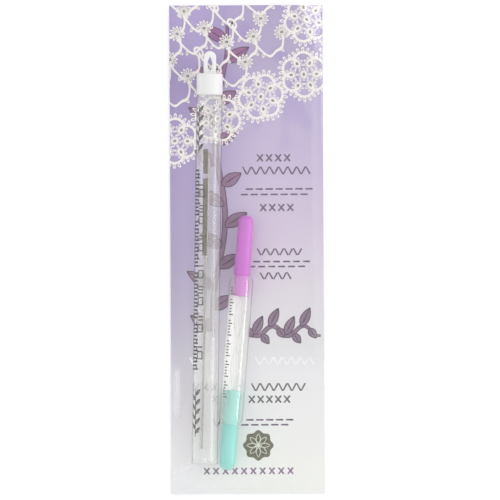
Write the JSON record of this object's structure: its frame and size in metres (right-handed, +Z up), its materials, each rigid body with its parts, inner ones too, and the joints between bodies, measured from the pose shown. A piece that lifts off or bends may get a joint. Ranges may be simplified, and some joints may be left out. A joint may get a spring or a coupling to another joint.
{
  "type": "tatting needle pack",
  "caption": "Long blunt tatting needle in a clear capped tube, with a double-ended needle threader in its own tube, on a folded leaflet in a clear film sleeve.",
  "frame": {"origin": "centre of the sleeve's flat underside", "axes": "+Z up out of the leaflet's printed face, +Y toward the end with the hang cap and the sleeve's open mouth, +X to the right when the face is read upright"},
  "size_m": [0.07, 0.2186, 0.0138],
  "materials": {
    "film": "clear glossy polypropylene film with soft wrinkles",
    "printed_paper": "smooth paper, printed from lavender at the top to pale grey at the foot",
    "clear_tube": "clear moulded plastic, glossy, slightly hazy",
    "white_plastic": "white moulded plastic, satin",
    "needle_steel": "nickel-plated steel, polished",
    "wire_steel": "drawn fine steel wire",
    "teal_plastic": "pale teal moulded plastic, satin gloss",
    "purple_plastic": "orchid purple moulded plastic, satin gloss"
  },
  "bodies": {
    "sleeve": {"sleeve_back_film": "film", "sleeve_front_film": "film"},
    "leaflet": {"folded_leaflet": "printed_paper"},
    "needle_tube": {"needle_tube": "clear_tube"},
    "hang_cap": {"hang_cap": "white_plastic"},
    "needle": {"tatting_needle": "needle_steel"},
    "teal_threader": {"teal_handle": "teal_plastic", "teal_wire_loop": "wire_steel"},
    "threader_tube": {"threader_tube": "clear_tube"},
    "purple_threader": {"purple_handle": "purple_plastic", "purple_wire_loop": "wire_steel"}
  },
  "joints": [
    {"name": "leaflet_slide", "type": "slide", "parent": "sleeve", "child": "leaflet", "axis": [0, 1, 0], "range_m": [0, 0.218]},
    {"name": "needle_tube_slide", "type": "slide", "parent": "sleeve", "child": "needle_tube", "axis": [0.018, 0.9998, 0], "range_m": [0, 0.205]},
    {"name": "hang_cap_pull", "type": "slide", "parent": "needle_tube", "child": "hang_cap", "axis": [0.018, 0.9998, 0], "range_m": [0, 0.012]},
    {"name": "needle_slide", "type": "slide", "parent": "needle_tube", "child": "needle", "axis": [0.018, 0.9998, 0], "range_m": [-0.0048, 0.0255]},
    {"name": "threader_slide", "type": "slide", "parent": "sleeve", "child": "teal_threader", "axis": [0.0816, 0.9967, 0], "range_m": [0, 0.21]},
    {"name": "threader_tube_pull", "type": "slide", "parent": "teal_threader", "child": "threader_tube", "axis": [0.0816, 0.9967, 0], "range_m": [0, 0.038]},
    {"name": "purple_handle_pull", "type": "slide", "parent": "threader_tube", "child": "purple_threader", "axis": [0.0816, 0.9967, 0], "range_m": [0, 0.032]}
  ]
}
